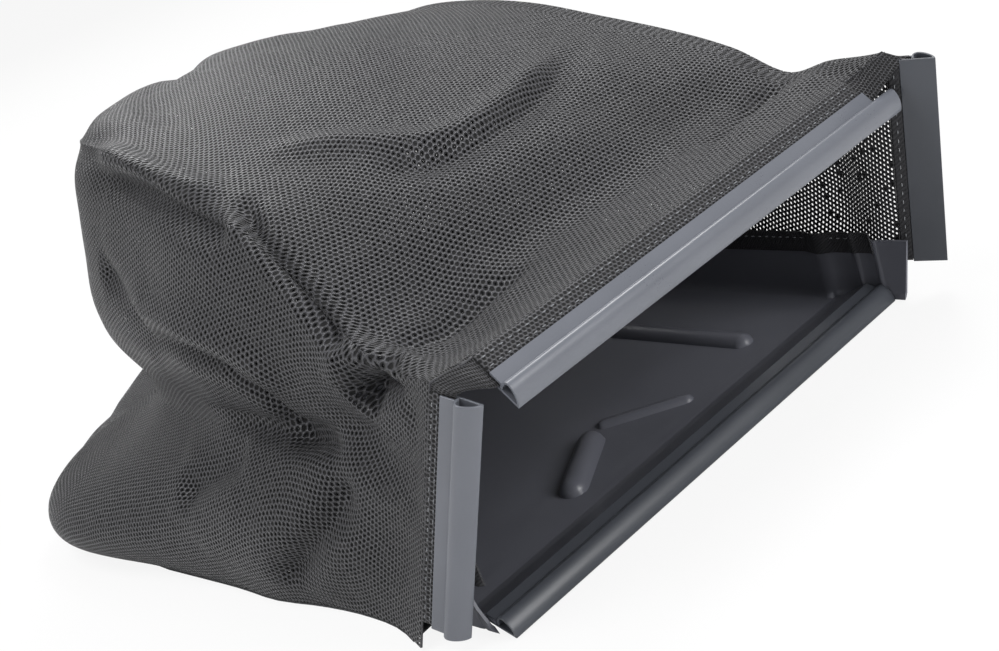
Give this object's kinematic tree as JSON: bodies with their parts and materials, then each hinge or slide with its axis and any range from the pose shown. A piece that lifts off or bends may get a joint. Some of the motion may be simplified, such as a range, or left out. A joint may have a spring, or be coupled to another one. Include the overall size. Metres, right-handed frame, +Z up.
{
  "type": "grass box",
  "caption": "Soft grass collecting bag of dark mesh on a moulded black tray, with folded plastic clip profiles round its open mouth.",
  "frame": {"origin": "centre of the tray's flat underside", "axes": "+X to the right across the mouth, +Y back from the mouth into the bag, +Z up from the tray's underside"},
  "size_m": [0.4658, 0.613, 0.3038],
  "materials": {
    "mesh_fabric": "woven, slightly shiny yarn",
    "clip_plastic": "satin extruded plastic",
    "tray_plastic": "smooth satin moulded sheet",
    "binding_tape": "matt woven tape"
  },
  "bodies": {
    "root": {"tray": "tray_plastic", "tray_tape": "binding_tape", "top_clip": "clip_plastic", "bottom_clip": "clip_plastic", "left_clip": "clip_plastic", "right_clip": "clip_plastic", "top_hem": "mesh_fabric", "left_hem": "mesh_fabric", "right_hem": "mesh_fabric", "top_tape": "binding_tape", "left_tape": "binding_tape", "right_tape": "binding_tape", "left_panel": "mesh_fabric", "top_rear_panel": "mesh_fabric", "right_panel": "mesh_fabric", "foot_hem": "mesh_fabric"}
  },
  "joints": []
}
